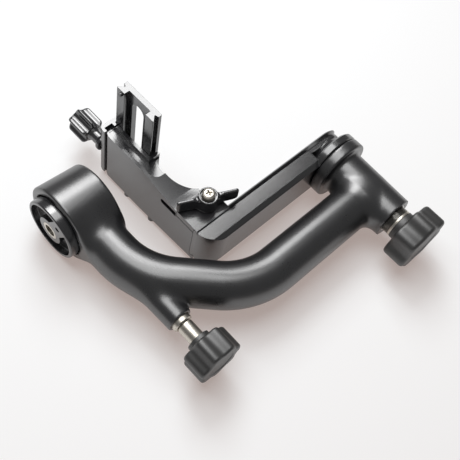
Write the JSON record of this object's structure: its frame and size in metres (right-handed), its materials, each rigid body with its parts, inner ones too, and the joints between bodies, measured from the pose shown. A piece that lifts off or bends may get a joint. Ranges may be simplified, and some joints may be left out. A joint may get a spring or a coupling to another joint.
{
  "type": "gimbal tripod head",
  "caption": "Gimbal tripod head with a cast tubular arm, pan and tilt lock knobs, and a dovetail lens clamp that slides on a swing bar",
  "frame": {"origin": "centre of the face that sits on the tripod, at the mouth of the tripod thread", "axes": "+Z is the pan axis pointing up from the tripod, +X points along the tilt axis toward the tilt knob, +Y is along the lens; the head lies on its +Y side in the picture"},
  "size_m": [0.251, 0.0971, 0.2314],
  "materials": {
    "cast_black": "satin black powder coat over cast aluminium with a fine sand-cast grain",
    "bar_black": "satin black powder coat on machined aluminium",
    "anodised_black": "black anodised, fine milling marks",
    "rubber_black": "moulded rubber grip, matt",
    "nickel": "bright nickel plate, lightly brushed",
    "steel": "turned steel, oiled",
    "black_screw": "black oxide steel",
    "bronze": "sintered bronze bush",
    "nylon": "natural nylon, worn smooth"
  },
  "bodies": {
    "base": {"base_disc": "anodised_black", "thread_insert": "nickel", "grub_screw": "black_screw", "friction_ring": "nylon", "pan_spindle": "steel", "spindle_washer": "steel", "spindle_nut": "steel"},
    "arm": {"cast_arm": "cast_black", "lower_bush": "bronze", "upper_bush": "bronze", "hub_cap": "anodised_black", "cap_screws": "black_screw", "pan_insert": "nickel", "brake_pin": "bronze", "inner_bush": "bronze", "outer_bush": "bronze", "tilt_insert": "steel"},
    "pan_feed": {"pan_stud": "nickel"},
    "pan_grip": {"pan_knob": "rubber_black"},
    "tilt_feed": {"tilt_stud": "nickel"},
    "tilt_grip": {"tilt_washer": "nickel", "tilt_knob": "rubber_black"},
    "swing": {"swing_bar": "bar_black", "tilt_shaft": "steel", "shaft_ring": "steel", "shaft_screw": "black_screw", "bar_stop": "black_screw"},
    "carriage": {"platform": "anodised_black", "side_screws": "black_screw"},
    "pinch": {"pinch_jaw": "anodised_black"},
    "wing": {"wing_screw": "nickel", "wing_lever": "anodised_black"},
    "jaw": {"clamp_jaw": "anodised_black", "guide_pins": "steel"},
    "jaw_grip": {"clamp_knob": "anodised_black", "clamp_screw": "steel"},
    "plate": {"lens_plate": "anodised_black", "lens_screw": "nickel", "plate_stops": "black_screw"}
  },
  "joints": [
    {"name": "pan", "type": "hinge", "parent": "base", "child": "arm", "pos_m": [0, 0, 0], "axis": [0, 0, 1], "continuous": true},
    {"name": "tilt", "type": "hinge", "parent": "arm", "child": "swing", "pos_m": [0.0884, 0, 0.206], "axis": [1, 0, 0], "continuous": true},
    {"name": "pan_lock_feed", "type": "slide", "parent": "arm", "child": "pan_feed", "axis": [1, 0, 0], "range_m": [0, 0.0025]},
    {"name": "pan_lock_turn", "type": "hinge", "parent": "pan_feed", "child": "pan_grip", "pos_m": [0.1326, 0, 0.025], "axis": [1, 0, 0], "range_deg": [0, 720]},
    {"name": "tilt_lock_feed", "type": "slide", "parent": "arm", "child": "tilt_feed", "axis": [1, 0, 0], "range_m": [0, 0.003]},
    {"name": "tilt_lock_turn", "type": "hinge", "parent": "tilt_feed", "child": "tilt_grip", "pos_m": [0.1644, 0, 0.206], "axis": [1, 0, 0], "range_deg": [0, 720]},
    {"name": "height", "type": "slide", "parent": "swing", "child": "carriage", "axis": [0, 0, 1], "range_m": [0, 0.0755]},
    {"name": "pinch_feed", "type": "slide", "parent": "carriage", "child": "pinch", "axis": [0, -1, 0], "range_m": [0, 0.00025]},
    {"name": "wing_turn", "type": "hinge", "parent": "pinch", "child": "wing", "pos_m": [0.061, -0.0193, 0.0923], "axis": [0, -1, 0], "range_deg": [0, 90]},
    {"name": "jaw_slide", "type": "slide", "parent": "carriage", "child": "jaw", "axis": [-1, 0, 0], "range_m": [0, 0.005]},
    {"name": "jaw_turn", "type": "hinge", "parent": "jaw", "child": "jaw_grip", "pos_m": [-0.0471, 0, 0.0769], "axis": [-1, 0, 0], "range_deg": [0, 1800]},
    {"name": "plate_slide", "type": "slide", "parent": "carriage", "child": "plate", "axis": [0, 1, 0], "range_m": [-0.0006, 0.0366]}
  ],
  "couplings": [
    {"joint": "pan_lock_turn", "follows": "pan_lock_feed", "rad_per_m": 5026.5},
    {"joint": "tilt_lock_turn", "follows": "tilt_lock_feed", "rad_per_m": 4188.7},
    {"joint": "wing_turn", "follows": "pinch_feed", "rad_per_m": 6283.1},
    {"joint": "jaw_turn", "follows": "jaw_slide", "rad_per_m": 6283.1}
  ]
}
